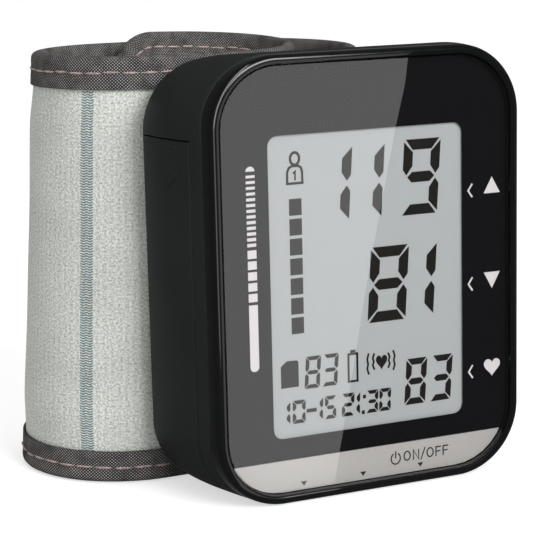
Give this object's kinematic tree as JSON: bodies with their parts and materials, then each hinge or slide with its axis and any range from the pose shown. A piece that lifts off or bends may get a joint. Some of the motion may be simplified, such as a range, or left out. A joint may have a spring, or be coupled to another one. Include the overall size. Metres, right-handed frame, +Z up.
{
  "type": "wrist blood pressure monitor",
  "caption": "Wrist blood pressure monitor with a glossy display front, keys in its underside, a side battery door and a rolled cloth cuff with a closing flap.",
  "frame": {"origin": "middle of the bounding box at the surface that the monitor stands on", "axes": "+X to the right along the display, +Y back from the display towards the cuff, +Z up"},
  "size_m": [0.0906, 0.0696, 0.0852],
  "materials": {
    "gloss_black_plastic": "polished",
    "matte_charcoal_plastic": "fine matt texture",
    "clear_lens": "polished",
    "black_print": "printed film",
    "silver_foil": "fine satin print",
    "display_glass": "satin polariser",
    "white_plastic": "moulded",
    "grey_rubber": "matt",
    "circuit_board": "solder mask",
    "black_component": "moulded",
    "steel": "plated",
    "cell_jacket": "printed sleeve",
    "hose_silicone": "translucent",
    "light_loop_cloth": "brushed loop knit",
    "dark_cloth": "plain knit",
    "woven_tape": "woven binding",
    "bladder_film": "smooth film",
    "hook_nylon": "hook tape"
  },
  "bodies": {
    "monitor": {"front_cover": "gloss_black_plastic", "rear_housing": "matte_charcoal_plastic", "battery_tray": "matte_charcoal_plastic", "cuff_saddle": "matte_charcoal_plastic", "display_lens": "clear_lens", "display_mask": "black_print", "label_strip": "silver_foil", "display_panel": "display_glass", "display_reflector": "white_plastic", "display_holder": "white_plastic", "air_pump": "white_plastic", "air_manifold": "white_plastic", "cuff_air_port": "white_plastic", "cuff_curler": "white_plastic", "display_connector": "grey_rubber", "main_board": "circuit_board", "key_board": "circuit_board", "controller_chip": "black_component", "memory_chip": "black_component", "buzzer": "black_component", "pressure_sensor": "black_component", "set_key_switch": "black_component", "memory_key_switch": "black_component", "power_key_switch": "black_component", "housing_screw_1": "steel", "housing_screw_2": "steel", "housing_screw_3": "steel", "housing_screw_4": "steel", "board_screw_1": "steel", "board_screw_2": "steel", "clock_crystal": "steel", "outer_cell_spring": "steel", "inner_cell_spring": "steel", "cell_link_contact": "steel", "positive_contact": "steel", "negative_contact": "steel", "pump_motor": "steel", "release_valve": "steel", "outer_battery_cell": "cell_jacket", "inner_battery_cell": "cell_jacket", "pump_hose": "hose_silicone", "valve_hose": "hose_silicone", "sensor_hose": "hose_silicone", "cuff_hose": "hose_silicone", "cuff_outer_cloth": "light_loop_cloth", "cuff_lining": "dark_cloth", "cuff_top_tape": "woven_tape", "cuff_bottom_tape": "woven_tape", "cuff_end_tape": "woven_tape", "cuff_bladder": "bladder_film"},
    "battery_door": {"battery_door": "matte_charcoal_plastic"},
    "set_key": {"set_key": "matte_charcoal_plastic"},
    "memory_key": {"memory_key": "matte_charcoal_plastic"},
    "power_key": {"power_key": "matte_charcoal_plastic"},
    "cuff_flap": {"flap_cloth": "light_loop_cloth", "flap_hook_patch": "hook_nylon", "flap_top_tape": "woven_tape", "flap_bottom_tape": "woven_tape", "flap_end_tape": "woven_tape"}
  },
  "joints": [
    {"name": "set_key_press", "type": "slide", "parent": "monitor", "child": "set_key", "axis": [0, 0, 1], "range_m": [0, 0.0006], "stiffness_N_per_m": 500},
    {"name": "memory_key_press", "type": "slide", "parent": "monitor", "child": "memory_key", "axis": [0, 0, 1], "range_m": [0, 0.0006], "stiffness_N_per_m": 500},
    {"name": "power_key_press", "type": "slide", "parent": "monitor", "child": "power_key", "axis": [0, 0, 1], "range_m": [0, 0.0006], "stiffness_N_per_m": 500},
    {"name": "battery_door_removal", "type": "slide", "parent": "monitor", "child": "battery_door", "axis": [-1, 0, 0], "range_m": [0, 0.03]},
    {"name": "flap_hinge", "type": "hinge", "parent": "monitor", "child": "cuff_flap", "pos_m": [-0.02212, 0.03483, 0], "axis": [0.0434, 0, 0.9991], "range_deg": [0, 100]}
  ]
}
